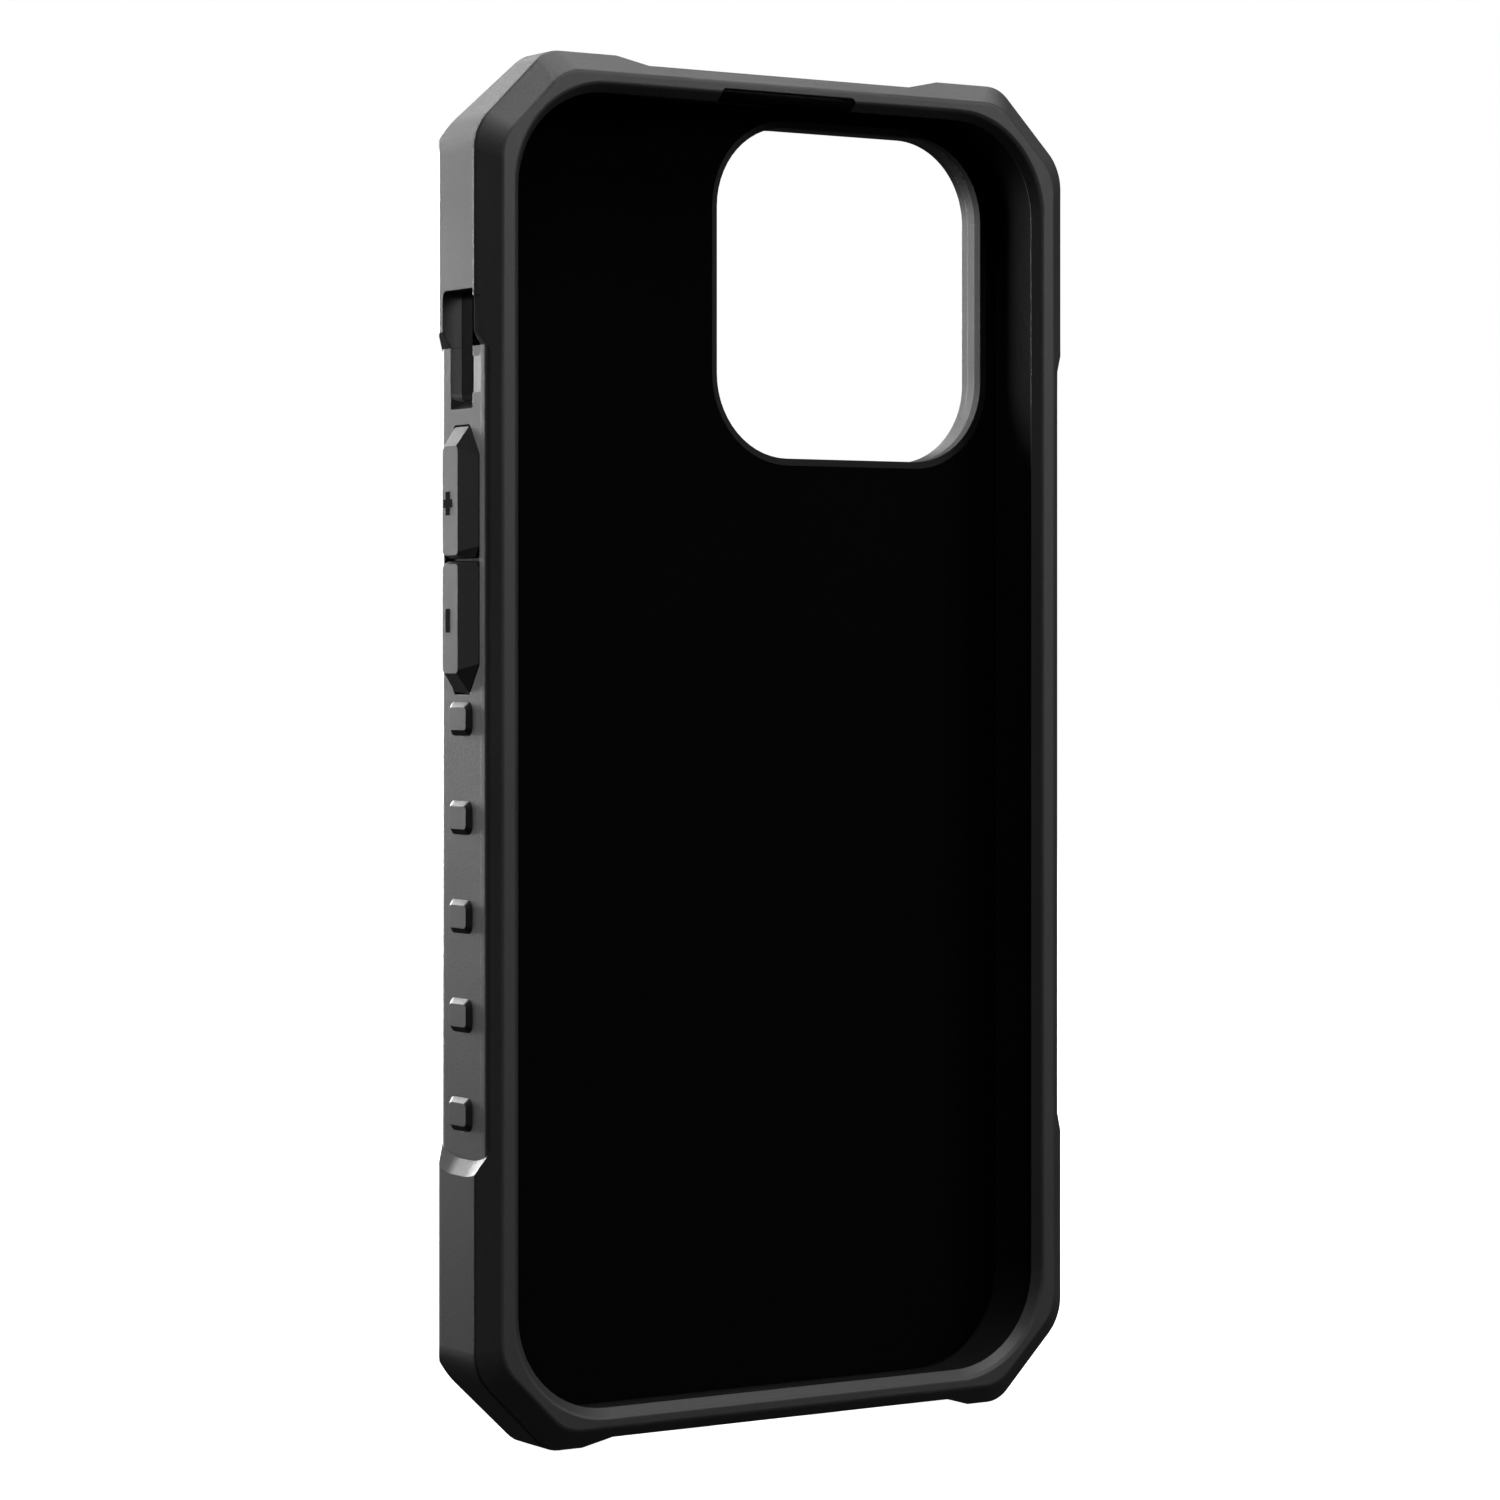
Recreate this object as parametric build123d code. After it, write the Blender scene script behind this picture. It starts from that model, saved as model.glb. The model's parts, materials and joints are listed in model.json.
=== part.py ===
"""Rugged phone case: a soft core in a hard rear shell, with corner bumpers and three push buttons.

Millimetres. X runs across the case, Y from the screen side (-Y) to the back (+Y), Z up.
The origin is the middle of the base, so the case stands upright on its two bottom bumpers.
"Depth" means distance behind the front lip's face, and "height" means Z above the base.
"""
from build123d import *
import os

# Phone that the pocket holds.
PHONE_WIDTH = 71.5
PHONE_HEIGHT = 146.7
PHONE_DEPTH = 7.8
PHONE_CORNER = 12.0
FIT_GAP = 0.1                    # between phone and pocket, on each side
LINING_MARGIN = 0.3              # between the lining and the pocket's walls
LINING_CAMERA_MARGIN = 0.8       # and round the camera opening

# Outside of the case.
CASE_WIDTH = 79.2
CASE_HEIGHT = 153.2
CORNER_CUT = 9.0                 # each corner is cut off at 45 degrees
SIDE_ROUND = 6.0                 # where the cut meets a side
END_ROUND = 4.0                  # and where it meets the top or bottom
TOP_RAMP = (18.2, 21.8)          # |X| where the top edge starts to rise to a bumper, and where it ends
BOTTOM_RAMP = (23.0, 26.2)

# Side recess between the bumpers.
RECESS = 1.0
RECESS_HEIGHTS = (32.15, 120.65)  # ends of the recess floor
RECESS_RAMP = 1.7                # the step's run along the side
RECESS_SLOPE = 0.25              # the lower end rises to front and back, for each mm of depth
RECESS_FLAT = (3.4, 7.6)         # depths between which the lower end is straight
RECESS_ROUND = 6.0               # and how it curves into its sloping stretches

# Depths of the layers.
LIP_BEVEL = 1.1
LIP_BACK = 1.2
EDGE = 1.95                      # where the front chamfer meets a bumper's side
SEAM = 2.35                      # back of the screen surround
LINING = 0.3
FLOOR = 1.2                      # soft core behind the lining
PLATE = 1.4                      # hard shell behind the core
POCKET_BACK = LIP_BACK + PHONE_DEPTH + FIT_GAP
CORE_FLOOR = POCKET_BACK + LINING
CORE_BACK = CORE_FLOOR + FLOOR
SHELL_BACK = CORE_BACK + PLATE
BUMPER_BACK = SHELL_BACK + 0.4
TOTAL_DEPTH = SHELL_BACK + 1.4   # to the back of the camera guard
BACK_CHAMFER = 2.4               # along the two sides

# Depths where each cut corner starts to lean in towards the back: beside the case's side, and beside its top or
# bottom. The camera's corner leans least, so that it carries the camera guard. Keys: sign of X, top 1 or bottom -1.
CORNER_BACK = {(-1, 1): (9.6, 6.6), (1, 1): (10.0, 9.4), (-1, -1): (9.7, 8.4), (1, -1): (9.7, 8.4)}

# Rounded edges.
LIP_EDGE = 0.6
LIP_INNER_EDGE = 0.6
BUMPER_EDGE = 0.4
BACK_ROUND = 1.0                 # bumpers' back edges
RECESS_EDGE = 0.9
BACK_EDGE = 1.2

# Front lip.
LIP_OPENING_GAP = 0.2            # the lip's front edge covers this much of the phone
LIP_REACH = 0.9                  # and its bevel this much more
LIP_SIDE = 37.2                  # half size of the lip's flat face
LIP_TOP = 74.35
LIP_CUT = 8.0
LIP_ROUND = 5.0
EARPIECE_WIDTH = 18.0
EARPIECE_DEPTH = 0.5
EARPIECE_TALL = 3.0
EARPIECE_ROUND = 0.6

# Walls.
CORE_WALL = 1.35
CORE_WALL_ENDS = 1.3
CORE_COVER = 0.8                 # depth of bumper left over the core's back corners
FOOT_INSET = 3.2                 # bumpers wrap this far round the back edge
FOOT_CORNER = 17.0               # and the back plate's corners are cut this far in

# Camera opening, at the top on the +X side.
CAMERA_WIDTH = 37.0
CAMERA_HEIGHT = 38.0
CAMERA_ROUND = 9.5
CAMERA_X = 14.8
CAMERA_Z = 128.6
GUARD_RIM = 2.6
GUARD_CHAMFER = 0.6
GUARD_INNER_CHAMFER = 0.3

# Push buttons. Depths and heights of the caps' outlines.
BUTTON_DEPTH = (2.8, 10.1)
BUTTON_TOP_DEPTH = (5.7, 9.0)    # the narrow outer face
BUTTON_TIP = (2.1, 3.15)         # cut corners of a tapered end, in depth and height
BUTTON_JOIN = (0.75, 1.3)        # cut corners of an end that faces another cap
BUTTON_TIP_SLOPE = 2.1           # the outer face stops this far short of a tapered end
BUTTON_JOIN_SLOPE = 0.35         # and this far short of an end that faces another cap
BUTTON_GAP = 0.2                 # round a cap in its shell pocket
VOLUME_HEIGHTS = (82.95, 111.95)
VOLUME_SPLIT = 0.25              # between the two volume caps
SIDE_HEIGHTS = (94.2, 114.7)
POCKET_FLOOR = 0.8               # depth of the shell's pocket round the caps
CAP_SKIRT = 0.25                 # the cap's edge sits this far below the recess floor
STEM = (4.7, 7.9)                # depths of the stem
STEM_INSET = 1.3                 # the stem stops this far short of the cap's cut corners
STEM_ROUND = 0.8
STEM_GAP = 0.25
STEM_REACH = 0.05                # how far the stem runs in past the core's outer face
PUSHER_RIM = 0.5
PUSHER_THICK = 0.5
PUSHER_ROUND = 1.0
WINDOW_GAP = 0.3
WINDOW_ROUND = 1.2
WEB_THICK = 0.3
WEB_RIM = 0.4
WEB_ROUND = 1.4

# Grip studs.
STUD_COUNT = 5
STUD_PITCH = 10.78
STUD_TOP_Z = 80.1
STUD_DEPTH = (4.2, 9.1)
STUD_HEIGHT = 3.7
STUD_PROUD = 0.5
STUD_SLOPE = 0.6
STUD_ROUND = 0.9
CROWN_ROUND = 0.5

# Ring switch slot on the -X side.
SLOT_HEIGHTS = (114.8, 126.8)
SLOT_DEPTH = (4.1, 9.0)
SLOT_ROUND = 0.8
SLOT_FLARE = (1.0, 1.4)          # the lower end slants out: drop in height, and distance in from the wall
MOUTH_LOW = 119.6                # the slot's wide mouth in the bumper
MOUTH_BACK = 8.9
SLOT_BEVEL = (1.7, 0.13)         # along the slot's front edge: width in depth, and distance in
MOUTH_BEVEL = 0.15               # on the surround before the mouth: how far in it lies at the seam
MOUTH_BEVEL_SLOPE = 0.4          # and how much further in towards the front, for each mm of depth
MOUTH_BEVEL_HEIGHTS = (120.0, 126.0)

# Openings in the bottom edge.
PORT_WIDTH = 13.0
PORT_HEIGHT = 6.0
SPEAKER_WIDTH = 10.0
SPEAKER_HEIGHT = 2.4
SPEAKER_X = 15.5

# Back plate: a raised middle panel, and grooves beside the camera opening.
PANEL_WIDTH = 39.0
PANEL_HEIGHT = 84.0
PANEL_Z = 57.0
PANEL_ROUND = 5.0
PANEL_PROUD = 0.3
GROOVE_COUNT = 4
GROOVE_LENGTH = 20.0
GROOVE_WIDTH = 1.6
GROOVE_DEEP = 0.4
GROOVE_X = -20.0
GROOVE_Z = 119.0
GROOVE_PITCH = 6.5

# Rails on the back.
RAIL_X = 24.0
RAIL_LENGTH = 76.0
RAIL_WIDTH = 3.2
RAIL_Z = 57.0
RAIL_INLET = 0.5
RAIL_PROUD = 0.4

# Sizes that follow from those above.
POCKET_HALF = PHONE_WIDTH / 2 + FIT_GAP
POCKET_TOP_HALF = PHONE_HEIGHT / 2 + FIT_GAP
SIDE_X = CASE_WIDTH / 2
WALL_X = SIDE_X - RECESS
CORE_X = POCKET_HALF + CORE_WALL
CORE_TOP = POCKET_TOP_HALF + CORE_WALL_ENDS
MID_Z = CASE_HEIGHT / 2
Y_FRONT = -TOTAL_DEPTH / 2
CHAMFER_SHARE = RECESS / (SIDE_X - LIP_SIDE)     # share of the front chamfer that the recess takes
EDGE_DROP = CHAMFER_SHARE * (MID_Z - LIP_TOP)    # so the ends lie in by the same share
LOW_EDGE = EDGE * (1 - CHAMFER_SHARE)            # where the chamfer meets the recess floor
LOW_CUT = CORNER_CUT - CHAMFER_SHARE * (CORNER_CUT - LIP_CUT)
BEYOND = 10.0                    # how far cutting tools run past what they cut
OVERLAP = 0.1                    # how far a cutting tool starts before the face that it cuts
TOUCH = 1e-4                     # places closer than this count as one

FRONT = Plane(origin=(0, Y_FRONT, MID_Z), x_dir=(1, 0, 0), z_dir=(0, -1, 0))


# Helpers ------------------------------------------------------------------

def layer(outline, near, far):
    """A plan outline, seen from the front, made solid between two depths."""
    return extrude(FRONT.offset(-near) * outline, amount=near - far)


def taper(near_outline, near, far_outline, far):
    """A solid that changes from one plan outline to another between two depths."""
    faces = [FRONT.offset(-near) * near_outline, FRONT.offset(-far) * far_outline]
    return loft(faces, ruled=True)


def from_right(x):
    """Plane at a given X whose own x is depth and whose own y is height."""
    return Plane(origin=(x, Y_FRONT, 0), x_dir=(0, 1, 0), z_dir=(1, 0, 0))


def side_rect(depths, heights, inner, outer, rounding=0.0):
    """A block with rounded corners between two depths, two heights and two X positions."""
    width = depths[1] - depths[0]
    height = heights[1] - heights[0]
    shape = RectangleRounded(width, height, rounding) if rounding else Rectangle(width, height)
    centre = Pos((depths[0] + depths[1]) / 2, (heights[0] + heights[1]) / 2)
    return extrude(from_right(inner) * centre * shape, amount=outer - inner)


def to_left(part):
    """The same part on the -X side."""
    return mirror(part, about=Plane.YZ)


def octagon(half_width, half_height, cut, side_round, end_round):
    """A rectangle with cut corners, centred on the case, rounded where the cuts meet sides and ends."""
    right = half_width - cut
    top = half_height - cut
    points = [
        (right, half_height), (half_width, top), (half_width, -top), (right, -half_height),
        (-right, -half_height), (-half_width, -top), (-half_width, top), (-right, half_height),
    ]
    face = make_face(Polyline(*points, close=True))
    on_sides, on_ends = [], []
    for vertex in face.vertices():
        (on_sides if abs(vertex.Y) < half_height - cut / 2 else on_ends).append(vertex)
    face = fillet(on_sides, side_round)
    ends = [vertex for vertex in face.vertices() if abs(abs(vertex.Y) - half_height) < TOUCH]
    return fillet(ends, end_round)


def rounded(half_width, half_height, radius):
    """A rectangle with round corners, centred on the case."""
    return RectangleRounded(2 * half_width, 2 * half_height, radius)


# Shapes that several pieces share -------------------------------------------

def recess_outline(extra):
    """The side recess in depth and height, its ends moved out by extra."""
    near, far = RECESS_FLAT
    front = -BEYOND
    back = TOTAL_DEPTH + BEYOND
    low = RECESS_HEIGHTS[0] - extra
    top = RECESS_HEIGHTS[1] + extra
    front_low = low + RECESS_SLOPE * (near - front)
    back_low = low + RECESS_SLOPE * (back - far)
    points = [(front, top), (back, top), (back, back_low), (far, low), (near, low), (front, front_low)]
    face = make_face(Polyline(*points, close=True))
    return fillet(face.vertices().sort_by(Axis.Y)[:2], RECESS_ROUND)


def recess_tool():
    """What is cut off the +X side between the bumpers, with sloped ends, down to well inside the case."""
    inward, outward = 2 * RECESS, 2 * RECESS
    slope = RECESS_RAMP / RECESS
    faces = []
    for reach in (-inward, outward):
        faces.append(from_right(WALL_X + reach) * recess_outline(slope * reach))
    return loft(faces, ruled=True)


def end_tool(ramp, sign):
    """What is cut off the top (sign 1) or bottom (sign -1) between two bumpers, down to well inside."""
    low, high = ramp
    slope = (high - low) / EDGE_DROP
    inward = 2 * EDGE_DROP
    start = MID_Z - EDGE_DROP - inward
    narrow = low - slope * inward
    wide = high + slope * BEYOND
    points = [(-narrow, start), (narrow, start), (wide, MID_Z + BEYOND), (-wide, MID_Z + BEYOND)]
    outline = make_face(Polyline(*[(x, sign * y) for x, y in points], close=True))
    return layer(outline, -BEYOND, TOTAL_DEPTH + BEYOND)


def edges_at(part, depth):
    """The part's edges that lie wholly at one depth."""
    y = Y_FRONT + depth
    return part.edges().filter_by_position(Axis.Y, y - TOUCH, y + TOUCH)


def lip_outline():
    """Outer edge of the lip's flat face."""
    return octagon(LIP_SIDE, LIP_TOP, LIP_CUT, LIP_ROUND, LIP_ROUND)


def side_limit():
    """Keeps the case's width: the sides lean in towards the back, with round edges."""
    start = BUMPER_BACK - BACK_CHAMFER
    narrow = SIDE_X - BACK_CHAMFER
    across = [
        (-SIDE_X, -BEYOND), (SIDE_X, -BEYOND), (SIDE_X, start), (narrow, BUMPER_BACK),
        (-narrow, BUMPER_BACK), (-SIDE_X, start),
    ]
    plan = make_face(Polyline(*across, close=True))
    plan = fillet(plan.vertices().sort_by(Axis.Y)[2:], BACK_ROUND)
    base = Plane(origin=(0, Y_FRONT, -BEYOND), x_dir=(1, 0, 0), z_dir=(0, 0, 1))
    return extrude(base * plan, amount=CASE_HEIGHT + 2 * BEYOND)


def end_limit():
    """Keeps the case's height, with round edges at the back."""
    length = BUMPER_BACK + BEYOND
    profile = Pos((BUMPER_BACK - BEYOND) / 2, MID_Z) * Rectangle(length, CASE_HEIGHT)
    profile = fillet(profile.vertices().sort_by(Axis.X)[2:], BACK_ROUND)
    return extrude(from_right(0) * profile, amount=CASE_WIDTH, both=True)


def corner_lean(side, end, depths):
    """What is cut off behind one corner, so that it leans in at 45 degrees; side and end are its signs."""
    beside, far = depths
    deep = BUMPER_BACK + BEYOND
    faces = []
    for along in (-1.0, 2.0):
        start = beside + along * (far - beside)
        across = SIDE_X - along * CORNER_CUT
        up = MID_Z - CORNER_CUT + along * CORNER_CUT
        points = []
        for out, depth in ((start - deep, deep), (BEYOND, deep), (BEYOND, start - BEYOND)):
            reach = out / 2 ** 0.5
            points.append((side * (across + reach), Y_FRONT + depth, MID_Z + end * (up + reach)))
        faces.append(make_face(Polyline(*points, close=True)))
    return loft(faces, ruled=True)


def bumper_body():
    """The case as if the bumpers ran all the way round."""
    wide = octagon(SIDE_X, MID_Z, CORNER_CUT, SIDE_ROUND, END_ROUND)
    body = taper(lip_outline(), 0.0, wide, EDGE) + layer(wide, EDGE, BUMPER_BACK)
    body = fillet(edges_at(body, 0.0), LIP_EDGE)
    body = fillet(edges_at(body, EDGE), BUMPER_EDGE)
    return body & side_limit() & end_limit()


def low_body():
    """The case as if the recess floor ran all the way round."""
    side, top = WALL_X, MID_Z - EDGE_DROP
    share = CHAMFER_SHARE
    side_round = SIDE_ROUND - share * (SIDE_ROUND - LIP_ROUND)
    end_round = END_ROUND - share * (END_ROUND - LIP_ROUND)
    low = octagon(side, top, LOW_CUT, side_round, end_round)
    start = BUMPER_BACK - BACK_CHAMFER + RECESS
    inset = SHELL_BACK - start
    back = octagon(side - inset, top - inset, LOW_CUT - inset * (2 - 2 ** 0.5), LIP_ROUND, LIP_ROUND)
    body = taper(lip_outline(), 0.0, low, LOW_EDGE) + layer(low, LOW_EDGE, start)
    body += taper(low, start, back, SHELL_BACK)
    body = fillet(edges_at(body, 0.0), LIP_EDGE)
    body = fillet(edges_at(body, LOW_EDGE), RECESS_EDGE)
    return fillet(edges_at(body, start), BACK_EDGE)


def envelope():
    """The whole outside of the case, without the camera guard, as one solid."""
    side = recess_tool()
    body = bumper_body() - side - to_left(side)
    body -= end_tool(TOP_RAMP, 1) + end_tool(BOTTOM_RAMP, -1)
    body += low_body()
    for (side_sign, end_sign), depths in CORNER_BACK.items():
        body -= corner_lean(side_sign, end_sign, depths)
    return body


def shell_zone():
    """Everything that the hard shell and the core fill behind the seam; the bumpers fill the rest."""
    top_in = TOP_RAMP[0]
    base_in = BOTTOM_RAMP[0]
    ends = [
        (-top_in, MID_Z), (top_in, MID_Z), (top_in, 0), (base_in, 0), (base_in, -MID_Z),
        (-base_in, -MID_Z), (-base_in, 0), (-top_in, 0),
    ]
    foot = octagon(SIDE_X - FOOT_INSET, MID_Z - FOOT_INSET, FOOT_CORNER, LIP_ROUND, LIP_ROUND)
    side = extrude(from_right(0) * recess_outline(0.0), amount=WALL_X + BEYOND)
    zone = layer(make_face(Polyline(*ends, close=True)), SEAM, BUMPER_BACK)
    zone += core_block(SEAM)
    zone += layer(foot, CORE_BACK, BUMPER_BACK) + camera_hole(GUARD_RIM, CORE_BACK, BUMPER_BACK)
    return zone + side + to_left(side)


def core_block(front):
    """The outside of the soft core, from a front depth; its back corners lean in under the bumpers."""
    block = layer(rounded(CORE_X, CORE_TOP, PHONE_CORNER + CORE_WALL), front, CORE_BACK)
    for (side_sign, end_sign), (beside, far) in CORNER_BACK.items():
        block -= corner_lean(side_sign, end_sign, (beside - CORE_COVER, far - CORE_COVER))
    return block


def slab(near, far):
    """A block wider and taller than the case, between two depths."""
    return layer(Rectangle(2 * CASE_WIDTH, 2 * CASE_HEIGHT), near, far)


def camera_hole(margin, near, far):
    """The camera opening, grown by a margin, between two depths."""
    half_width = CAMERA_WIDTH / 2 + margin
    half_height = CAMERA_HEIGHT / 2 + margin
    outline = rounded(half_width, half_height, CAMERA_ROUND + margin)
    return layer(Pos(CAMERA_X, CAMERA_Z - MID_Z) * outline, near, far)


def switch_slot():
    """Slot over the ring switch, right through the side, with a lower end that slants out."""
    low, high = SLOT_HEIGHTS
    near, far = SLOT_DEPTH
    drop, run = SLOT_FLARE
    through = side_rect(SLOT_DEPTH, SLOT_HEIGHTS, POCKET_HALF - BEYOND, SIDE_X + BEYOND, SLOT_ROUND)
    middle = (near + far) / 2
    length = far - near - 2 * SLOT_ROUND
    inner = from_right(WALL_X - run) * Pos(middle, low + SLOT_ROUND) * Rectangle(length, 2 * SLOT_ROUND)
    outer = from_right(WALL_X + OVERLAP) * Pos(middle, low + SLOT_ROUND - drop / 2) * Rectangle(
        length + 2 * SLOT_ROUND, 2 * SLOT_ROUND + drop)
    return to_left(through + loft([inner, outer], ruled=True))


def slot_mouth():
    """The wide mouth that the bumper leaves round the upper part of the switch slot."""
    depths = (SEAM - SLOT_ROUND, MOUTH_BACK)
    return to_left(side_rect(depths, (MOUTH_LOW, SLOT_HEIGHTS[1]), CORE_X, SIDE_X + BEYOND, SLOT_ROUND))


def slot_bevel():
    """Shallow bevel along the front edge of the switch slot, in the recess floor."""
    width, inward = SLOT_BEVEL
    near = SLOT_DEPTH[0]
    start = SLOT_HEIGHTS[0] + SLOT_ROUND
    plane = Plane(origin=(0, Y_FRONT, start), x_dir=(1, 0, 0), z_dir=(0, 0, 1))
    outside = WALL_X + BEYOND
    points = [(WALL_X, near - width), (outside, near - width), (outside, near), (WALL_X - inward, near)]
    return to_left(extrude(plane * make_face(Polyline(*points, close=True)), amount=MOUTH_LOW - start))


def mouth_bevel():
    """Shallow bevel on the surround, in front of the switch slot's mouth."""
    low, high = MOUTH_BEVEL_HEIGHTS
    plane = Plane(origin=(0, Y_FRONT, low), x_dir=(1, 0, 0), z_dir=(0, 0, 1))
    back = SIDE_X - MOUTH_BEVEL
    front = back - MOUTH_BEVEL_SLOPE * SEAM
    outside = SIDE_X + BEYOND
    points = [(front, 0), (outside, 0), (outside, SEAM), (back, SEAM)]
    return to_left(extrude(plane * make_face(Polyline(*points, close=True)), amount=high - low))


def bottom_openings():
    """The port and the two sound slots, cut through the bottom edge."""
    middle = LIP_BACK + PHONE_DEPTH / 2
    base = Plane(origin=(0, Y_FRONT + middle, -BEYOND), x_dir=(1, 0, 0), z_dir=(0, 0, 1))
    shapes = SlotOverall(PORT_WIDTH, PORT_HEIGHT)
    for side in (-1, 1):
        shapes += Pos(side * SPEAKER_X, 0) * SlotOverall(SPEAKER_WIDTH, SPEAKER_HEIGHT)
    return extrude(base * shapes, amount=2 * BEYOND)


# Buttons ----------------------------------------------------------------------

def grow(span, amount):
    """A pair of limits, moved apart by an amount at each end."""
    return (span[0] - amount, span[1] + amount)


def cut_box(depths, heights, low_corner, high_corner):
    """A rectangle in depth and height whose corners are cut; each corner is (depth, height)."""
    near, far = depths
    low, high = heights
    low_run, low_rise = low_corner
    high_run, high_rise = high_corner
    points = [
        (near, low + low_rise), (near, high - high_rise), (near + high_run, high), (far - high_run, high),
        (far, high - high_rise), (far, low + low_rise), (far - low_run, low), (near + low_run, low),
    ]
    return make_face(Polyline(*points, close=True))


def button_cap(heights, low_end, high_end):
    """A cap with sloped flanks on the +X side; each end is BUTTON_TIP or BUTTON_JOIN."""
    slopes = {BUTTON_TIP: BUTTON_TIP_SLOPE, BUTTON_JOIN: BUTTON_JOIN_SLOPE}
    outline = cut_box(BUTTON_DEPTH, heights, low_end, high_end)
    skirt = extrude(from_right(WALL_X - CAP_SKIRT) * outline, amount=CAP_SKIRT)
    top_heights = (heights[0] + slopes[low_end], heights[1] - slopes[high_end])
    corner = (BUTTON_JOIN_SLOPE, BUTTON_JOIN_SLOPE)
    top = cut_box(BUTTON_TOP_DEPTH, top_heights, corner, corner)
    return skirt + loft([from_right(WALL_X) * outline, from_right(SIDE_X) * top], ruled=True)


class Button:
    """One push button on the +X side: cap and stem, soft pusher, thin web, and the holes they need."""

    def __init__(self, heights, low_end, high_end):
        stem_heights = (heights[0] + low_end[1] + STEM_INSET, heights[1] - high_end[1] - STEM_INSET)
        stem_inner = CORE_X - STEM_REACH
        stem = side_rect(STEM, stem_heights, stem_inner, WALL_X - CAP_SKIRT, STEM_ROUND)
        self.cap = button_cap(heights, low_end, high_end) + stem
        pusher = (grow(STEM, PUSHER_RIM), grow(stem_heights, PUSHER_RIM))
        self.pusher = side_rect(*pusher, stem_inner - PUSHER_THICK, stem_inner, PUSHER_ROUND)
        hole = (grow(STEM, STEM_GAP), grow(stem_heights, STEM_GAP))
        self.shell_hole = side_rect(*hole, CORE_X - OVERLAP, WALL_X, PUSHER_ROUND)
        window = (grow(pusher[0], WINDOW_GAP), grow(pusher[1], WINDOW_GAP))
        self.core_hole = side_rect(*window, POCKET_HALF - OVERLAP, CORE_X + OVERLAP, WINDOW_ROUND)
        web = (grow(window[0], WEB_RIM), grow(window[1], WEB_RIM))
        self.web = side_rect(*web, POCKET_HALF, POCKET_HALF + WEB_THICK, WEB_ROUND)


def shell_pocket(heights):
    """Shallow pocket in the shell's side that the caps of one group sink into."""
    outline = offset(cut_box(BUTTON_DEPTH, heights, BUTTON_TIP, BUTTON_TIP), BUTTON_GAP,
                     kind=Kind.INTERSECTION)
    return extrude(from_right(WALL_X - POCKET_FLOOR) * outline, amount=POCKET_FLOOR + OVERLAP)


# Grip studs ---------------------------------------------------------------------

def grip_studs():
    """The +X side's row of studs, each standing on the core and out through the shell."""
    near, far = STUD_DEPTH
    studs = []
    for index in range(STUD_COUNT):
        middle = STUD_TOP_Z - index * STUD_PITCH
        heights = (middle - STUD_HEIGHT / 2, middle + STUD_HEIGHT / 2)
        post = side_rect(STUD_DEPTH, heights, CORE_X, WALL_X, STUD_ROUND)
        place = Pos((near + far) / 2, middle)
        foot = from_right(WALL_X) * place * RectangleRounded(far - near, STUD_HEIGHT, STUD_ROUND)
        crown_size = (far - near - 2 * STUD_SLOPE, STUD_HEIGHT - 2 * STUD_SLOPE)
        crown = from_right(WALL_X + STUD_PROUD) * place * RectangleRounded(*crown_size, CROWN_ROUND)
        studs.append(post + loft([foot, crown], ruled=True))
    return studs


# Pieces ---------------------------------------------------------------------------

def screen_surround(body):
    """Front bezel: flat lip with a bevel towards the screen, and a chamfer outside."""
    half = PHONE_WIDTH / 2 - LIP_OPENING_GAP
    top = PHONE_HEIGHT / 2 - LIP_OPENING_GAP
    corner = PHONE_CORNER - LIP_OPENING_GAP
    wide = rounded(half, top, corner)
    narrow = rounded(half - LIP_REACH, top - LIP_REACH, corner - LIP_REACH)
    pocket = rounded(POCKET_HALF, POCKET_TOP_HALF, PHONE_CORNER + FIT_GAP)
    ring = body & slab(-BEYOND, SEAM)
    ring -= taper(wide, 0.0, narrow, LIP_BEVEL)
    ring -= layer(narrow, LIP_BEVEL - OVERLAP, LIP_BACK + OVERLAP)
    ring -= layer(pocket, LIP_BACK, SEAM + OVERLAP)
    lip_face = ring.faces().sort_by(Axis.Y)[0]
    ring = fillet(lip_face.inner_wires()[0].edges(), LIP_INNER_EDGE)
    notch = Pos(0, top + EARPIECE_DEPTH - EARPIECE_TALL / 2) * RectangleRounded(
        EARPIECE_WIDTH, EARPIECE_TALL, EARPIECE_ROUND)
    return ring - layer(notch, -BEYOND, LIP_BACK) - mouth_bevel()


def inner_core(buttons_left, buttons_right):
    """Soft tray that grips the phone: four walls and a floor."""
    pocket = rounded(POCKET_HALF, POCKET_TOP_HALF, PHONE_CORNER + FIT_GAP)
    tray = core_block(SEAM) - layer(pocket, SEAM - OVERLAP, CORE_FLOOR)
    tray -= camera_hole(0.0, 0.0, TOTAL_DEPTH)
    tray -= switch_slot() + bottom_openings()
    for button in buttons_left:
        tray -= to_left(button.core_hole + button.web)
    for button in buttons_right:
        tray -= button.core_hole + button.web
    return tray


def inner_lining():
    """Thin lining on the tray's floor."""
    sheet = rounded(POCKET_HALF - LINING_MARGIN, POCKET_TOP_HALF - LINING_MARGIN, PHONE_CORNER)
    return layer(sheet, POCKET_BACK, CORE_FLOOR) - camera_hole(LINING_CAMERA_MARGIN, 0.0, TOTAL_DEPTH)


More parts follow.
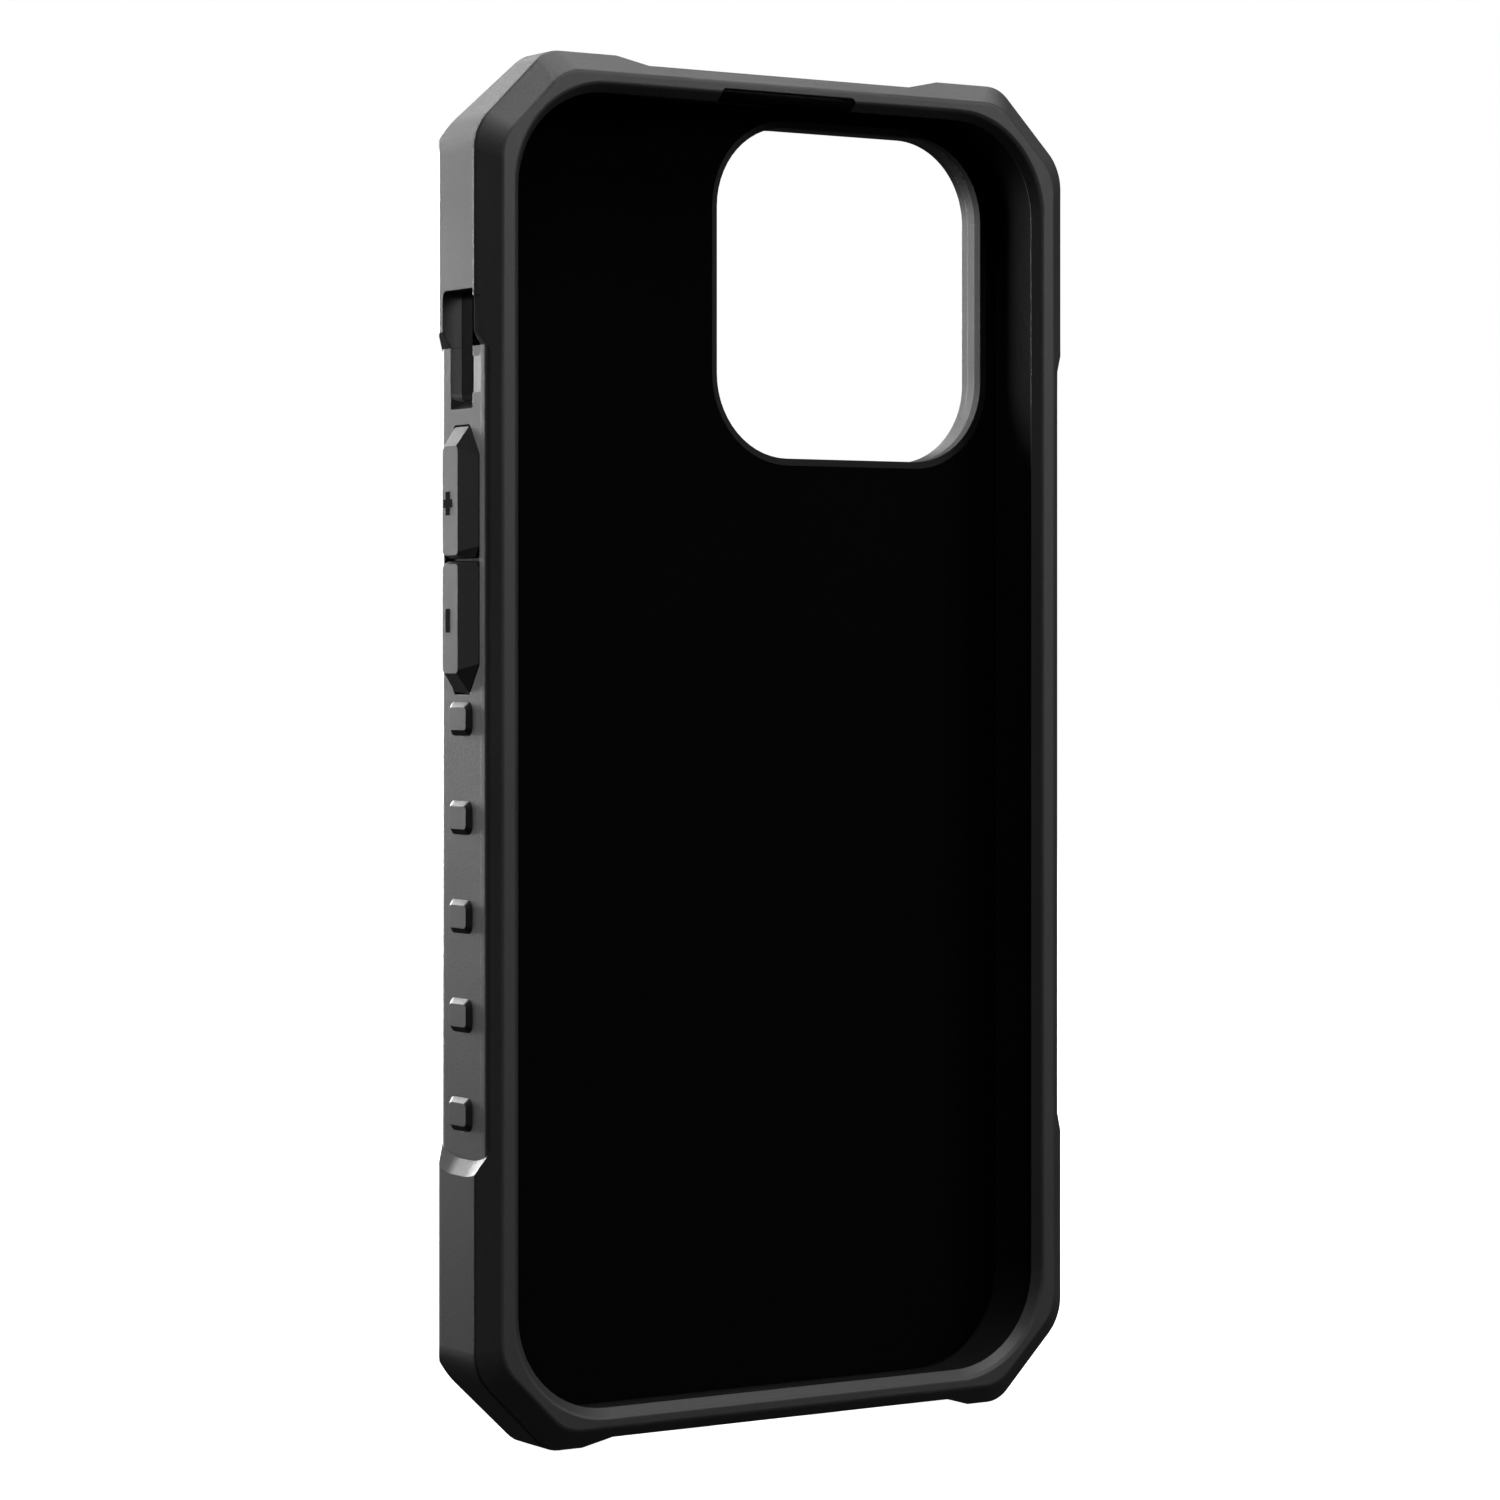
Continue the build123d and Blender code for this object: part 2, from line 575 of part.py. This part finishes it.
def back_panel():
    """Raised middle of the back plate, its edges sloped."""
    place = Pos(0, PANEL_Z - MID_Z)
    foot = place * RectangleRounded(PANEL_WIDTH, PANEL_HEIGHT, PANEL_ROUND)
    top = place * RectangleRounded(
        PANEL_WIDTH - 2 * PANEL_PROUD, PANEL_HEIGHT - 2 * PANEL_PROUD, PANEL_ROUND - PANEL_PROUD)
    return taper(foot, SHELL_BACK, top, SHELL_BACK + PANEL_PROUD)


def back_grooves():
    """Row of short grooves beside the camera opening."""
    grooves = []
    for index in range(GROOVE_COUNT):
        place = Pos(GROOVE_X, GROOVE_Z + index * GROOVE_PITCH - MID_Z)
        outline = place * SlotOverall(GROOVE_LENGTH, GROOVE_WIDTH)
        grooves.append(layer(outline, SHELL_BACK - GROOVE_DEEP, SHELL_BACK + OVERLAP))
    return grooves


def rear_shell(body, zone, buttons_left, buttons_right, studs):
    """Hard shell: back plate, two side walls, and short top and bottom walls."""
    shell = body & zone & slab(SEAM, SHELL_BACK)
    shell += back_panel()
    shell -= core_block(SEAM - OVERLAP)
    shell -= camera_hole(0.0, 0.0, TOTAL_DEPTH)
    shell -= switch_slot() + bottom_openings() + slot_bevel()
    shell -= to_left(shell_pocket(VOLUME_HEIGHTS)) + shell_pocket(SIDE_HEIGHTS)
    for button in buttons_left:
        shell -= to_left(button.shell_hole)
    for button in buttons_right:
        shell -= button.shell_hole
    for stud in studs:
        shell -= stud
        shell -= to_left(stud)
    for inlet in skid_rails() + back_grooves():
        shell -= inlet
    return shell


def corner_bumpers(body, zone):
    """The four soft corner bumpers, by name."""
    rest = body & slab(SEAM, BUMPER_BACK)
    rest -= zone
    rest -= switch_slot() + slot_mouth()
    rest -= camera_hole(GUARD_RIM, 0.0, TOTAL_DEPTH)
    bumpers = {}
    for solid in rest.solids():
        centre = solid.center()
        level = "top" if centre.Z > MID_Z else "bottom"
        side = "right" if centre.X > 0 else "left"
        bumpers.setdefault(f"corner_bumper_{level}_{side}", []).append(solid)
    return bumpers


def camera_guard():
    """Raised ring round the camera opening."""
    ring = camera_hole(GUARD_RIM, SHELL_BACK, TOTAL_DEPTH)
    ring = chamfer(edges_at(ring, TOTAL_DEPTH), GUARD_CHAMFER)
    ring -= camera_hole(0.0, 0.0, TOTAL_DEPTH + BEYOND)
    return chamfer(ring.faces().sort_by(Axis.Y)[-1].inner_wires()[0].edges(), GUARD_INNER_CHAMFER)


def skid_rails():
    """Two soft rails let into the back plate."""
    rails = []
    for side in (-1, 1):
        outline = Pos(side * RAIL_X, RAIL_Z - MID_Z) * Rot(0, 0, 90) * SlotOverall(RAIL_LENGTH, RAIL_WIDTH)
        rails.append(layer(outline, SHELL_BACK - RAIL_INLET, SHELL_BACK + RAIL_PROUD))
    return rails


def write(name, shapes):
    """Write one node's solids to its STEP file."""
    solids = [solid for shape in shapes for solid in shape.solids()]
    shape = solids[0] if len(solids) == 1 else Compound(children=solids)
    export_step(shape, f"parts/{name}.step")
    print(name, len(solids), round(sum(solid.volume for solid in solids), 1))


def main():
    os.makedirs("parts", exist_ok=True)
    low, high = VOLUME_HEIGHTS
    middle = (low + high) / 2
    down = Button((low, middle - VOLUME_SPLIT / 2), BUTTON_TIP, BUTTON_JOIN)
    up = Button((middle + VOLUME_SPLIT / 2, high), BUTTON_JOIN, BUTTON_TIP)
    side = Button(SIDE_HEIGHTS, BUTTON_TIP, BUTTON_TIP)
    studs = grip_studs()
    body = envelope()
    zone = shell_zone()

    write("inner_core", [inner_core([down, up], [side])])
    write("inner_lining", [inner_lining()])
    write("rear_shell", [rear_shell(body, zone, [down, up], [side], studs)])
    write("screen_surround", [screen_surround(body)])
    for name, solids in corner_bumpers(body, zone).items():
        write(name, solids)
    write("camera_guard", [camera_guard()])
    write("rear_skid_rails", skid_rails())
    write("right_grip_studs", studs)
    write("left_grip_studs", [to_left(stud) for stud in studs])
    for name, button in (("volume_up", up), ("volume_down", down)):
        write(f"{name}_button", [to_left(button.cap)])
        write(f"{name}_pusher", [to_left(button.pusher)])
        write(f"{name}_web", [to_left(button.web)])
    write("side_button", [side.cap])
    write("side_button_pusher", [side.pusher])
    write("side_button_web", [side.web])


main()
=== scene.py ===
"""Looks for the rugged phone case: materials, lining cloth, key marks, studio and camera."""
import bmesh
import bpy
import json
import math
from mathutils import Matrix, Vector


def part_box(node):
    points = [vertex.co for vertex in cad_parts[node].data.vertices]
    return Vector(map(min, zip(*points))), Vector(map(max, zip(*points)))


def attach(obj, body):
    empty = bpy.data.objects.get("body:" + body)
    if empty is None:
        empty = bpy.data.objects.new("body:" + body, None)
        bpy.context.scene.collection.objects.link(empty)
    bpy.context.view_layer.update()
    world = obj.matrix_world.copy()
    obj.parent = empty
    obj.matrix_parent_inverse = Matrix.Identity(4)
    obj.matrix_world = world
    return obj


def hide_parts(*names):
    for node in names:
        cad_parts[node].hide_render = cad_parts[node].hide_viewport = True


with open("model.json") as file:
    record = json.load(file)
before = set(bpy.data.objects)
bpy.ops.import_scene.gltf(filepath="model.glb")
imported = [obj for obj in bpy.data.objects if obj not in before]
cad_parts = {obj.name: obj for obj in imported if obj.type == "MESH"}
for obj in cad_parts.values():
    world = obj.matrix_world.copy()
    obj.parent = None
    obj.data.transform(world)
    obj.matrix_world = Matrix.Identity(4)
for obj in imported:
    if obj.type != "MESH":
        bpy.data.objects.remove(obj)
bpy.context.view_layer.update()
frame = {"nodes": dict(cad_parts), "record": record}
NODES = frame["nodes"]
MM = 0.001

# Camera: a level long lens, to the left of the case and in front of it.
CAMERA_PLACE = Vector((-0.2800, -0.4282, 0.0880))
CAMERA_YAW = math.radians(33.09)      # to the right of the +Y direction
CAMERA_LENS = 107.9                   # focal length in millimetres
CAMERA_SENSOR = 36                    # width in millimetres
CAMERA_SHIFT = -0.0691                # lowers the picture's frame, in sensor widths

# Softboxes: azimuth from +Y, clockwise from above, and elevation, both in degrees; distance from the
# middle of the case and size, both in metres; strength.
CENTRE = Vector((0, 0, 0.0766))
SOFTBOXES = {
    "back_box": (-2, 10, 1.2, (0.35, 0.5), 36.2),
    "overhead_box": (80, 80, 1.2, (1.1, 1.1), 3.2),
    "front_right_box": (147, 22, 1.3, (0.5, 0.4), 7.6),
    "front_top_box": (190, 60, 1.2, (0.7, 0.5), 5.5),
    "high_back_box": (5, 35, 1.2, (0.6, 0.6), 3.3),
    "left_back_box": (-33, 8, 1.2, (0.9, 0.35), 2.55),
    "right_overhead_box": (80, 50, 1.2, (0.6, 0.5), 1.54),
    "low_front_right_box": (147, 3, 1.3, (0.5, 0.3), 1.16),
    "low_back_box": (-33, -6, 1.2, (0.9, 0.25), 0.95),
}
FILL = 0.02                           # what the studio's far walls add
WHITE = (1, 1, 1, 1)

# Floor.
FLOOR_HALF = 4.0                      # metres from its middle to each side
FLOOR_DROP = 0.1 * MM                 # below the case, so that the two don't touch
FLOOR_GREY = (0.5, 0.5, 0.5, 1)

# Base colours.
BLACK = (0.028, 0.028, 0.029)
DARK = (0.020, 0.020, 0.021)
INSIDE_SHADE = (0.006, 0.006, 0.0062)         # painted shade: the same rubber as outside, made darker for the inside of the case
NAP_DARK = (0.001, 0.001, 0.001)
NAP_LIGHT = (0.0025, 0.0025, 0.0026)
INK_DARK = (0.001, 0.001, 0.001)
INK_LIGHT = (0.004, 0.004, 0.004)

# How the moulded surfaces vary.
NOISE_RANGE = (0.3, 0.7)              # where nearly all of a noise's values lie
NOISE_DETAIL = 3.0
GRAIN_ROUGHNESS = 0.6                 # share of each finer octave in the grain
BLOTCH_SCALE = 60.0                   # blotches to the metre
BLOTCH_DARK = 0.82                    # tints are shares of the base colour
BLOTCH_LIGHT = 1.18
SPECK_RANGE = (0.35, 0.75)            # grain noise over which light specks come in
SPECK_SHARE = 0.35
SPECK_TINT = 1.6
# Sharp edges are lightened to this share of the base colour, partly scuffing and partly a painted
# highlight.
EDGE_SCUFF_AND_HIGHLIGHT_TINT = 3.0
PIT_PITCH = 1.6                       # in grains
PIT_RADIUS = 0.5                      # in pitches
GRAIN_SPREAD = 0.05                   # how far the grain shifts the roughness
BLOTCH_SPREAD = 0.03                  # how far the blotches shift it
GRAIN_BUMP = 0.5                      # strength of the grain's bump
PLASTIC_IOR = 1.5
BEVEL_SAMPLES = 4
EDGE_LIGHTEN_START = 0.99                     # cosine of the rounded normal's turn where the edges' scuffing and painted highlight start
EDGE_LIGHTEN_FULL = 0.85                    # and where they are full

# How the cloth and the ink vary.
SMOOTH_DETAIL = 2.0
PILE_SCALE = 5000.0                   # tufts to the metre
PILE_STRETCH = (1.0, 1.0, 0.3)        # they are brushed upwards
PILE_BUMP = 0.8                       # strength of the tufts' bump
PILE_HEIGHT = 0.08 * MM
LIE_SCALE = 45.0                      # patches to the metre in which the pile lies one way
NAP_ROUGHNESS = (0.92, 1.0)
NAP_GLOSS = 0.03
INK_SCALE = 3000.0                    # spots to the metre
INK_ROUGHNESS = (0.75, 0.9)
INK_GLOSS = 0.1

# Lining cloth: a sheet with round corners and an opening round the phone's cameras.
LINING_CORNER = 12.0 * MM
OPENING_MIDDLE = (14.8 * MM, 128.6 * MM)
OPENING_HALF = (19.3 * MM, 19.8 * MM)
OPENING_CORNER = 10.3 * MM
CLOTH_EDGE = 0.06 * MM
WELD = 0.001 * MM                     # corners closer than this are joined
CORNER_STEPS = 12                     # straight pieces in a round corner
EDGE_STEPS = 2                        # and in a round edge

# Marks on the two volume caps: a plus and a minus.
MARK_Y = 1.2 * MM                     # place of their middles, in depth
MARK_TALL = 2.6 * MM
MARK_BAR = 0.9 * MM
PLUS_Z = 103.6 * MM
PLUS_WIDE = 1.9 * MM
MINUS_Z = 90.8 * MM
MARK_PROUD = 0.03 * MM
MARK_SUNK = 0.15 * MM
MARK_EDGE = 0.02 * MM
MARK_ROUND = 0.15 * MM
MARK_STEPS = 4


# Node helpers -----------------------------------------------------------------

def new_tree(material):
    """Clears a material's nodes and gives back its tree and its shader."""
    material.use_nodes = True
    tree = material.node_tree
    tree.nodes.clear()
    output = tree.nodes.new("ShaderNodeOutputMaterial")
    shader = tree.nodes.new("ShaderNodeBsdfPrincipled")
    tree.links.new(shader.outputs["BSDF"], output.inputs["Surface"])
    return tree, shader


def add(tree, kind, **inputs):
    """Adds a node and sets or links its inputs by name."""
    node = tree.nodes.new(kind)
    for name, value in inputs.items():
        socket = node.inputs[name.replace("_", " ")]
        if isinstance(value, bpy.types.NodeSocket):
            tree.links.new(value, socket)
        else:
            socket.default_value = value
    return node


def ramp(tree, factor, low, high, low_value, high_value):
    """Maps a factor from low..high to low_value..high_value."""
    node = tree.nodes.new("ShaderNodeMapRange")
    tree.links.new(factor, node.inputs["Value"])
    node.inputs["From Min"].default_value = low
    node.inputs["From Max"].default_value = high
    node.inputs["To Min"].default_value = low_value
    node.inputs["To Max"].default_value = high_value
    return node.outputs["Result"]


def mixed(tree, factor, first, second):
    """A colour between two colours or colour sockets."""
    node = tree.nodes.new("ShaderNodeMixRGB")
    tree.links.new(factor, node.inputs["Fac"])
    for name, value in (("Color1", first), ("Color2", second)):
        if isinstance(value, bpy.types.NodeSocket):
            tree.links.new(value, node.inputs[name])
        else:
            node.inputs[name].default_value = (*value, 1)
    return node.outputs["Color"]


def scaled(color, factor):
    """A colour made lighter or darker."""
    return tuple(part * factor for part in color)


def total(tree, first, second):
    """The sum of two values."""
    node = tree.nodes.new("ShaderNodeMath")
    node.operation = "ADD"
    for socket, value in zip(node.inputs, (first, second)):
        if isinstance(value, bpy.types.NodeSocket):
            tree.links.new(value, socket)
        else:
            socket.default_value = value
    return node.outputs["Value"]


# Materials ----------------------------------------------------------------------

def edge_mask(tree, radius):
    """Normals that round each sharp edge by a radius, and a mask that is 1 along those edges."""
    bevel = add(tree, "ShaderNodeBevel", Radius=radius)
    bevel.samples = BEVEL_SAMPLES
    face = tree.nodes.new("ShaderNodeNewGeometry")
    turn = tree.nodes.new("ShaderNodeVectorMath")
    turn.operation = "DOT_PRODUCT"
    tree.links.new(bevel.outputs["Normal"], turn.inputs[0])
    tree.links.new(face.outputs["Normal"], turn.inputs[1])
    return bevel.outputs["Normal"], ramp(tree, turn.outputs["Value"], EDGE_LIGHTEN_START, EDGE_LIGHTEN_FULL, 0.0, 1.0)


def moulded(name, color, roughness, grain, depth, edge, scuff_and_highlight, pits=0.0, gloss=0.5):
    """Moulded black rubber or plastic.

    grain and depth are the eroded texture's pitch and height. edge is the radius of the sharp edges, and
    the argument after it is how far those edges are lightened, partly as scuffing and partly as a
    painted highlight.
    gloss is the specular level.
    """
    material = bpy.data.materials.new(name)
    tree, shader = new_tree(material)
    place = add(tree, "ShaderNodeTexCoord").outputs["Object"]
    fine = add(tree, "ShaderNodeTexNoise", Vector=place, Scale=1 / grain, Detail=NOISE_DETAIL,
               Roughness=GRAIN_ROUGHNESS)
    broad = add(tree, "ShaderNodeTexNoise", Vector=place, Scale=BLOTCH_SCALE, Detail=NOISE_DETAIL)
    pitted = add(tree, "ShaderNodeTexVoronoi", Vector=place, Scale=1 / (PIT_PITCH * grain))
    pit = ramp(tree, pitted.outputs["Distance"], 0.0, PIT_RADIUS, pits, 0.0)
    height = mixed(tree, pit, fine.outputs["Fac"], (0, 0, 0))
    rounded, edge_scuff_and_highlight = edge_mask(tree, edge)
    cloudy = mixed(tree, broad.outputs["Fac"], scaled(color, BLOTCH_DARK), scaled(color, BLOTCH_LIGHT))
    speck = ramp(tree, fine.outputs["Fac"], *SPECK_RANGE, 0.0, SPECK_SHARE)
    speckled = mixed(tree, speck, cloudy, scaled(color, SPECK_TINT))
    # Sharp edges are lightened along the bevel mask: partly scuffing, partly a painted highlight.
    scuffed_and_highlit = mixed(tree, ramp(tree, edge_scuff_and_highlight, 0.0, 1.0, 0.0, scuff_and_highlight), speckled, scaled(color, EDGE_SCUFF_AND_HIGHLIGHT_TINT))
    tree.links.new(scuffed_and_highlit, shader.inputs["Base Color"])
    uneven = ramp(tree, fine.outputs["Fac"], *NOISE_RANGE,
                  roughness - GRAIN_SPREAD, roughness + GRAIN_SPREAD)
    handled = ramp(tree, broad.outputs["Fac"], *NOISE_RANGE, -BLOTCH_SPREAD, BLOTCH_SPREAD)
    tree.links.new(total(tree, uneven, handled), shader.inputs["Roughness"])
    bump = add(tree, "ShaderNodeBump", Height=height, Strength=GRAIN_BUMP, Distance=depth,
               Normal=rounded)
    tree.links.new(bump.outputs["Normal"], shader.inputs["Normal"])
    shader.inputs["IOR"].default_value = PLASTIC_IOR
    shader.inputs["Specular IOR Level"].default_value = gloss
    return material


def nap():
    """Short, dense pile of a black microfibre cloth, brushed upwards."""
    material = bpy.data.materials.new("lining_nap")
    tree, shader = new_tree(material)
    place = add(tree, "ShaderNodeTexCoord").outputs["Object"]
    brushed = add(tree, "ShaderNodeMapping", Vector=place, Scale=PILE_STRETCH)
    pile = add(tree, "ShaderNodeTexNoise", Vector=brushed.outputs["Vector"], Scale=PILE_SCALE,
               Detail=SMOOTH_DETAIL)
    lie = add(tree, "ShaderNodeTexNoise", Vector=place, Scale=LIE_SCALE, Detail=SMOOTH_DETAIL)
    tree.links.new(mixed(tree, pile.outputs["Fac"], NAP_DARK, NAP_LIGHT), shader.inputs["Base Color"])
    dulled = ramp(tree, lie.outputs["Fac"], *NOISE_RANGE, *NAP_ROUGHNESS)
    tree.links.new(dulled, shader.inputs["Roughness"])
    bump = add(tree, "ShaderNodeBump", Height=pile.outputs["Fac"], Strength=PILE_BUMP,
               Distance=PILE_HEIGHT)
    tree.links.new(bump.outputs["Normal"], shader.inputs["Normal"])
    shader.inputs["Specular IOR Level"].default_value = NAP_GLOSS
    return material


def ink():
    """Printed black mark, a little uneven."""
    material = bpy.data.materials.new("mark_ink")
    tree, shader = new_tree(material)
    place = add(tree, "ShaderNodeTexCoord").outputs["Object"]
    patchy = add(tree, "ShaderNodeTexNoise", Vector=place, Scale=INK_SCALE, Detail=SMOOTH_DETAIL)
    tree.links.new(mixed(tree, patchy.outputs["Fac"], INK_DARK, INK_LIGHT), shader.inputs["Base Color"])
    dulled = ramp(tree, patchy.outputs["Fac"], *NOISE_RANGE, *INK_ROUGHNESS)
    tree.links.new(dulled, shader.inputs["Roughness"])
    shader.inputs["Specular IOR Level"].default_value = INK_GLOSS
    return material


MATERIALS = {
    "surround": moulded("surround_rubber", BLACK, 0.48, 0.35 * MM, 0.03 * MM, 0.15 * MM, 0.25),
    "bumper": moulded("bumper_rubber", BLACK, 0.48, 0.35 * MM, 0.03 * MM, 0.15 * MM, 0.25),
    "studs": moulded("stud_rubber", BLACK, 0.48, 0.30 * MM, 0.02 * MM, 0.12 * MM, 0.2),
    "rails": moulded("rail_rubber", DARK, 0.55, 0.40 * MM, 0.04 * MM, 0.15 * MM, 0.3),
    # painted shade: the inner core takes a darker colour than the same rubber outside
    "soft_core": moulded("core_rubber", INSIDE_SHADE, 0.6, 0.35 * MM, 0.03 * MM, 0.12 * MM, 0.2, gloss=0.2),
    "hard_shell": moulded("shell_plastic", BLACK, 0.46, 0.25 * MM, 0.03 * MM, 0.08 * MM, 0.2, pits=0.8),
    "guard": moulded("guard_plastic", DARK, 0.42, 0.25 * MM, 0.02 * MM, 0.08 * MM, 0.25, pits=0.5),
    "button": moulded("button_plastic", BLACK, 0.46, 0.25 * MM, 0.02 * MM, 0.08 * MM, 0.3, pits=0.4),
    "lining": nap(),
}
INK = ink()


def paint(piece, material):
    """Gives a piece its one material."""
    slots = piece.data.materials
    slots.clear()
    slots.append(material)


def paint_nodes():
    """Each CAD node gets the material of its slot in the record."""
    for part in frame["record"]["subparts"]:
        paint(NODES[part["node"]], MATERIALS[part["material_slot"]])


# Pieces made here ---------------------------------------------------------------

def place_piece(name, mesh, body, material):
    """Adds a mesh as a piece that rides on a body."""
    piece = bpy.data.objects.new(name, mesh)
    bpy.context.scene.collection.objects.link(piece)
    paint(piece, material)
    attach(piece, body)
    return piece


def round_rectangle(middle, half, radius, steps=CORNER_STEPS):
    """Points round a rectangle with round corners, each in a number of steps."""
    points = []
    for corner, (along, up) in enumerate(((1, 1), (-1, 1), (-1, -1), (1, -1))):
        centre = (middle[0] + along * (half[0] - radius), middle[1] + up * (half[1] - radius))
        for step in range(steps + 1):
            angle = math.radians(90 * (corner + step / steps))
            points.append((centre[0] + radius * math.cos(angle), centre[1] + radius * math.sin(angle)))
    return points


def filled_plate(name, outlines, thickness, edge):
    """Mesh of a flat plate with round edges, from closed outlines, the second a hole in the first."""
    curve = bpy.data.curves.new(name, "CURVE")
    curve.dimensions = "2D"
    curve.fill_mode = "BOTH"
    curve.extrude = thickness / 2 - edge
    curve.bevel_depth = edge
    curve.bevel_resolution = EDGE_STEPS
    curve.offset = -edge
    for outline in outlines:
        spline = curve.splines.new("POLY")
        spline.points.add(len(outline) - 1)
        for point, (u, v) in zip(spline.points, outline):
            point.co = (u, v, 0, 1)
        spline.use_cyclic_u = True
    holder = bpy.data.objects.new(name + "_curve", curve)
    mesh = bpy.data.meshes.new_from_object(holder)
    mesh.name = name
    bpy.data.objects.remove(holder)
    # A filled curve's front, edge and back don't share corners, so these are joined.
    solid = bmesh.new()
    solid.from_mesh(mesh)
    bmesh.ops.remove_doubles(solid, verts=solid.verts, dist=WELD)
    bmesh.ops.recalc_face_normals(solid, faces=solid.faces)
    solid.to_mesh(mesh)
    solid.free()
    return mesh


def lining_cloth():
    """The lining as a cut sheet of cloth on the tray's floor."""
    low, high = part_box("inner_lining")
    half = ((high.x - low.x) / 2, (high.z - low.z) / 2)
    middle = ((low.x + high.x) / 2, (low.z + high.z) / 2)
    outlines = [round_rectangle(middle, half, LINING_CORNER),
                round_rectangle(OPENING_MIDDLE, OPENING_HALF, OPENING_CORNER)[::-1]]
    mesh = filled_plate("lining_cloth", outlines, high.y - low.y, CLOTH_EDGE)
    upright = Matrix.Rotation(math.pi / 2, 4, "X")
    mesh.transform(Matrix.Translation((0, (low.y + high.y) / 2, 0)) @ upright)
    cloth = place_piece("lining_cloth", mesh, "case", MATERIALS["lining"])
    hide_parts("inner_lining")


def key_mark(name, body, outline):
    """A thin printed mark on the outer face of a volume cap, from its outline in depth and height."""
    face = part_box(body + "_button")[0].x
    mesh = filled_plate(name, [outline], MARK_SUNK + MARK_PROUD, MARK_EDGE)
    # The outline's axes turn to +Y and +Z, and the plate faces -X.
    turn = Matrix(((0, 0, -1), (1, 0, 0), (0, 1, 0))).to_4x4()
    middle = face + (MARK_SUNK - MARK_PROUD) / 2
    mesh.transform(Matrix.Translation((middle, 0, 0)) @ turn)
    place_piece(name, mesh, body, INK)


def bar(y, z, wide, tall):
    """Outline of a bar with slightly round corners."""
    return round_rectangle((y, z), (wide / 2, tall / 2), MARK_ROUND, MARK_STEPS)


def cross(y, z, wide, tall, stroke):
    """Outline of a cross."""
    a, b, s = wide / 2, tall / 2, stroke / 2
    return [(y + u, z + v) for u, v in ((s, b), (-s, b), (-s, s), (-a, s), (-a, -s), (-s, -s),
                                        (-s, -b), (s, -b), (s, -s), (a, -s), (a, s), (s, s))]


# Studio ------------------------------------------------------------------------

def aim(direction):
    """Rotation of a camera or lamp that looks along a direction."""
    return Vector(direction).to_track_quat("-Z", "Y").to_euler()


def softbox(name, azimuth, elevation, distance, size, strength):
    """Area light that faces the case, with the same strength from each part of it."""
    data = bpy.data.lights.new(name, "AREA")
    data.shape = "RECTANGLE"
    data.size, data.size_y = size
    data.energy = strength * size[0] * size[1] * math.pi
    lamp = bpy.data.objects.new(name, data)
    bpy.context.scene.collection.objects.link(lamp)
    a, e = math.radians(azimuth), math.radians(elevation)
    outward = Vector((math.sin(a) * math.cos(e), math.cos(a) * math.cos(e), math.sin(e)))
    lamp.location = CENTRE + outward * distance
    lamp.rotation_euler = aim(-outward)


def backdrop():
    """A world that is white to the camera and nearly dark to the case."""
    world = bpy.data.worlds.new("studio")
    bpy.context.scene.world = world
    world.use_nodes = True
    tree = world.node_tree
    tree.nodes.clear()
    output = tree.nodes.new("ShaderNodeOutputWorld")
    path = tree.nodes.new("ShaderNodeLightPath")
    dark = add(tree, "ShaderNodeBackground", Color=WHITE, Strength=FILL)
    bright = add(tree, "ShaderNodeBackground", Color=WHITE, Strength=1.0)
    mix = tree.nodes.new("ShaderNodeMixShader")
    tree.links.new(path.outputs["Is Camera Ray"], mix.inputs["Fac"])
    tree.links.new(dark.outputs[0], mix.inputs[1])
    tree.links.new(bright.outputs[0], mix.inputs[2])
    tree.links.new(mix.outputs[0], output.inputs["Surface"])


def floor():
    """Large pale floor that takes a faint shadow."""
    mesh = bpy.data.meshes.new("floor")
    corners = [(FLOOR_HALF * x, FLOOR_HALF * y, 0) for x, y in ((-1, -1), (1, -1), (1, 1), (-1, 1))]
    mesh.from_pydata(corners, [], [(0, 1, 2, 3)])
    ground = bpy.data.objects.new("floor", mesh)
    bpy.context.scene.collection.objects.link(ground)
    material = bpy.data.materials.new("floor")
    material.use_nodes = True
    tree = material.node_tree
    tree.nodes.clear()
    output = tree.nodes.new("ShaderNodeOutputMaterial")
    glow = add(tree, "ShaderNodeEmission", Strength=1.0)
    matt = add(tree, "ShaderNodeBsdfDiffuse", Color=FLOOR_GREY)
    both = tree.nodes.new("ShaderNodeAddShader")
    tree.links.new(glow.outputs[0], both.inputs[0])
    tree.links.new(matt.outputs[0], both.inputs[1])
    tree.links.new(both.outputs[0], output.inputs["Surface"])
    mesh.materials.append(material)
    ground.location.z = -FLOOR_DROP
    ground.visible_diffuse = False
    ground.visible_glossy = False


def camera():
    """The view, level and from the left."""
    data = bpy.data.cameras.new("view")
    data.lens = CAMERA_LENS
    data.sensor_width = CAMERA_SENSOR
    data.shift_y = CAMERA_SHIFT
    eye = bpy.data.objects.new("view", data)
    bpy.context.scene.collection.objects.link(eye)
    eye.location = CAMERA_PLACE
    eye.rotation_euler = aim((math.sin(CAMERA_YAW), math.cos(CAMERA_YAW), 0))
    bpy.context.scene.camera = eye


paint_nodes()
lining_cloth()
key_mark("plus_mark", "volume_up", cross(MARK_Y, PLUS_Z, PLUS_WIDE, MARK_TALL, MARK_BAR))
key_mark("minus_mark", "volume_down", bar(MARK_Y, MINUS_Z, MARK_BAR, MARK_TALL))

backdrop()
for box_name, settings in SOFTBOXES.items():
    softbox(box_name, *settings)
floor()
camera()
bpy.context.scene.view_settings.view_transform = "Standard"
